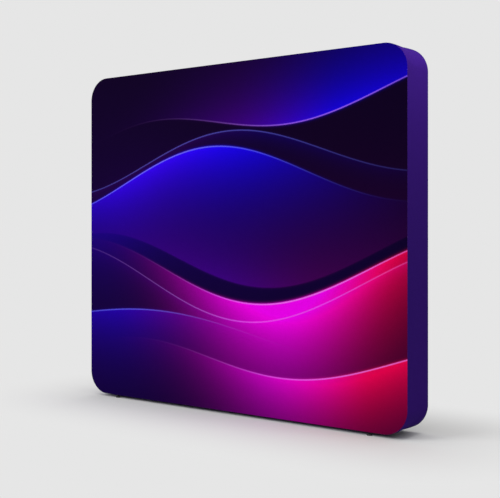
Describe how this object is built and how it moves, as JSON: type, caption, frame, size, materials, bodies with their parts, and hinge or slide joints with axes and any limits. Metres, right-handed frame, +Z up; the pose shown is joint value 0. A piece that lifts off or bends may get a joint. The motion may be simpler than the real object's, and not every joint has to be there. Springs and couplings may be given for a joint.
{
  "type": "fabric light box wall",
  "caption": "Freestanding rounded wall of stretched printed cloth, zipped at the back over a plug-together tube frame with upright LED bars, a mains inlet and levelling feet.",
  "frame": {"origin": "on the floor under the middle of the wall's overall width and depth, with the feet wound in", "axes": "+X along the wall to the viewer's right, +Y from the printed front to the zipped back, +Z up"},
  "size_m": [2.5, 0.2568, 2.22],
  "materials": {
    "printed_cloth": "knitted polyester, printed in deep violet, blue and magenta, matt",
    "side_cloth": "knitted polyester, plain violet, matt",
    "lining_cloth": "opaque knitted polyester, charcoal, matt",
    "zip_tape": "woven tape with moulded teeth, charcoal",
    "zip_metal": "nickel-plated zinc, satin",
    "eyelet_metal": "nickel-plated brass, satin",
    "frame_tube": "mill-finish extrusion, satin",
    "spring_steel": "zinc-plated spring steel",
    "foot": "black glass-filled nylon on a zinc-plated stud",
    "lamp_bar": "white powder coat with clear lenses",
    "sheet_metal": "zinc-plated sheet steel",
    "driver_case": "dark anodised, satin",
    "cable": "light grey flexible sheath",
    "inlet_plastic": "black moulded plastic with nickel-plated blades",
    "rocker_plastic": "black moulded plastic, polished"
  },
  "bodies": {
    "wall": {"front_panel": "printed_cloth", "back_panel": "lining_cloth", "side_band_right": "side_cloth", "side_band_left": "side_cloth", "zip_stringer_upper": "zip_tape", "zip_stringer_lower": "zip_tape", "eyelet_right_front": "eyelet_metal", "eyelet_right_rear": "eyelet_metal", "eyelet_left_front": "eyelet_metal", "eyelet_left_rear": "eyelet_metal", "corner_frame_top_right": "frame_tube", "corner_frame_top_left": "frame_tube", "corner_frame_bottom_right": "frame_tube", "corner_frame_bottom_left": "frame_tube", "rail_ladder_top": "frame_tube", "rail_ladder_bottom": "frame_tube", "post_ladder_right": "frame_tube", "post_ladder_left": "frame_tube", "middle_post_lower": "frame_tube", "middle_post_upper": "frame_tube", "led_bar_1": "lamp_bar", "led_bar_2": "lamp_bar", "led_bar_3": "lamp_bar", "led_bar_4": "lamp_bar", "led_bar_5": "lamp_bar", "led_bar_6": "lamp_bar", "led_bar_7": "lamp_bar", "led_bar_8": "lamp_bar", "driver_tray": "sheet_metal", "led_driver": "driver_case", "supply_cable": "cable", "lamp_loom": "cable", "inlet_bracket": "sheet_metal", "power_inlet": "inlet_plastic"},
    "slider": {"zip_slider": "zip_metal"},
    "pull": {"zip_pull": "zip_metal"},
    "rocker": {"rocker_switch": "rocker_plastic"},
    "foot_right_front": {"levelling_foot_right_front": "foot"},
    "foot_right_rear": {"levelling_foot_right_rear": "foot"},
    "foot_left_front": {"levelling_foot_left_front": "foot"},
    "foot_left_rear": {"levelling_foot_left_rear": "foot"},
    "middle_button": {"middle_post_button": "spring_steel"},
    "rail_button_tr_front": {"rail_button_top_right_front": "spring_steel"},
    "rail_button_tr_rear": {"rail_button_top_right_rear": "spring_steel"},
    "rail_button_tl_front": {"rail_button_top_left_front": "spring_steel"},
    "rail_button_tl_rear": {"rail_button_top_left_rear": "spring_steel"},
    "rail_button_br_front": {"rail_button_bottom_right_front": "spring_steel"},
    "rail_button_br_rear": {"rail_button_bottom_right_rear": "spring_steel"},
    "rail_button_bl_front": {"rail_button_bottom_left_front": "spring_steel"},
    "rail_button_bl_rear": {"rail_button_bottom_left_rear": "spring_steel"},
    "post_button_tr_front": {"post_button_top_right_front": "spring_steel"},
    "post_button_tr_rear": {"post_button_top_right_rear": "spring_steel"},
    "post_button_tl_front": {"post_button_top_left_front": "spring_steel"},
    "post_button_tl_rear": {"post_button_top_left_rear": "spring_steel"},
    "post_button_br_front": {"post_button_bottom_right_front": "spring_steel"},
    "post_button_br_rear": {"post_button_bottom_right_rear": "spring_steel"},
    "post_button_bl_front": {"post_button_bottom_left_front": "spring_steel"},
    "post_button_bl_rear": {"post_button_bottom_left_rear": "spring_steel"}
  },
  "joints": [
    {"name": "zip_slide", "type": "slide", "parent": "wall", "child": "slider", "axis": [-1, 0, 0], "range_m": [0, 2.14]},
    {"name": "pull_swing", "type": "hinge", "parent": "slider", "child": "pull", "pos_m": [1.072, 0.1254, 0.08], "axis": [0, 0, -1], "range_deg": [0, 180]},
    {"name": "rocker_press", "type": "hinge", "parent": "wall", "child": "rocker", "pos_m": [-0.8855, 0.1218, 0.145], "axis": [1, 0, 0], "range_deg": [0, 16]},
    {"name": "foot_right_front_level", "type": "slide", "parent": "wall", "child": "foot_right_front", "axis": [0, 0, -1], "range_m": [-0.0005, 0.012]},
    {"name": "foot_right_rear_level", "type": "slide", "parent": "wall", "child": "foot_right_rear", "axis": [0, 0, -1], "range_m": [-0.0005, 0.012]},
    {"name": "foot_left_front_level", "type": "slide", "parent": "wall", "child": "foot_left_front", "axis": [0, 0, -1], "range_m": [-0.0005, 0.012]},
    {"name": "foot_left_rear_level", "type": "slide", "parent": "wall", "child": "foot_left_rear", "axis": [0, 0, -1], "range_m": [-0.0005, 0.012]},
    {"name": "middle_button_press", "type": "slide", "parent": "wall", "child": "middle_button", "axis": [-1, 0, 0], "range_m": [0, 0.0045], "stiffness_N_per_m": 1500},
    {"name": "rail_button_tr_front_press", "type": "slide", "parent": "wall", "child": "rail_button_tr_front", "axis": [0, 0, 1], "range_m": [0, 0.0045], "stiffness_N_per_m": 1500},
    {"name": "rail_button_tr_rear_press", "type": "slide", "parent": "wall", "child": "rail_button_tr_rear", "axis": [0, 0, 1], "range_m": [0, 0.0045], "stiffness_N_per_m": 1500},
    {"name": "rail_button_tl_front_press", "type": "slide", "parent": "wall", "child": "rail_button_tl_front", "axis": [0, 0, 1], "range_m": [0, 0.0045], "stiffness_N_per_m": 1500},
    {"name": "rail_button_tl_rear_press", "type": "slide", "parent": "wall", "child": "rail_button_tl_rear", "axis": [0, 0, 1], "range_m": [0, 0.0045], "stiffness_N_per_m": 1500},
    {"name": "rail_button_br_front_press", "type": "slide", "parent": "wall", "child": "rail_button_br_front", "axis": [0, 0, -1], "range_m": [0, 0.0045], "stiffness_N_per_m": 1500},
    {"name": "rail_button_br_rear_press", "type": "slide", "parent": "wall", "child": "rail_button_br_rear", "axis": [0, 0, -1], "range_m": [0, 0.0045], "stiffness_N_per_m": 1500},
    {"name": "rail_button_bl_front_press", "type": "slide", "parent": "wall", "child": "rail_button_bl_front", "axis": [0, 0, -1], "range_m": [0, 0.0045], "stiffness_N_per_m": 1500},
    {"name": "rail_button_bl_rear_press", "type": "slide", "parent": "wall", "child": "rail_button_bl_rear", "axis": [0, 0, -1], "range_m": [0, 0.0045], "stiffness_N_per_m": 1500},
    {"name": "post_button_tr_front_press", "type": "slide", "parent": "wall", "child": "post_button_tr_front", "axis": [1, 0, 0], "range_m": [0, 0.0045], "stiffness_N_per_m": 1500},
    {"name": "post_button_tr_rear_press", "type": "slide", "parent": "wall", "child": "post_button_tr_rear", "axis": [1, 0, 0], "range_m": [0, 0.0045], "stiffness_N_per_m": 1500},
    {"name": "post_button_tl_front_press", "type": "slide", "parent": "wall", "child": "post_button_tl_front", "axis": [-1, 0, 0], "range_m": [0, 0.0045], "stiffness_N_per_m": 1500},
    {"name": "post_button_tl_rear_press", "type": "slide", "parent": "wall", "child": "post_button_tl_rear", "axis": [-1, 0, 0], "range_m": [0, 0.0045], "stiffness_N_per_m": 1500},
    {"name": "post_button_br_front_press", "type": "slide", "parent": "wall", "child": "post_button_br_front", "axis": [1, 0, 0], "range_m": [0, 0.0045], "stiffness_N_per_m": 1500},
    {"name": "post_button_br_rear_press", "type": "slide", "parent": "wall", "child": "post_button_br_rear", "axis": [1, 0, 0], "range_m": [0, 0.0045], "stiffness_N_per_m": 1500},
    {"name": "post_button_bl_front_press", "type": "slide", "parent": "wall", "child": "post_button_bl_front", "axis": [-1, 0, 0], "range_m": [0, 0.0045], "stiffness_N_per_m": 1500},
    {"name": "post_button_bl_rear_press", "type": "slide", "parent": "wall", "child": "post_button_bl_rear", "axis": [-1, 0, 0], "range_m": [0, 0.0045], "stiffness_N_per_m": 1500}
  ]
}
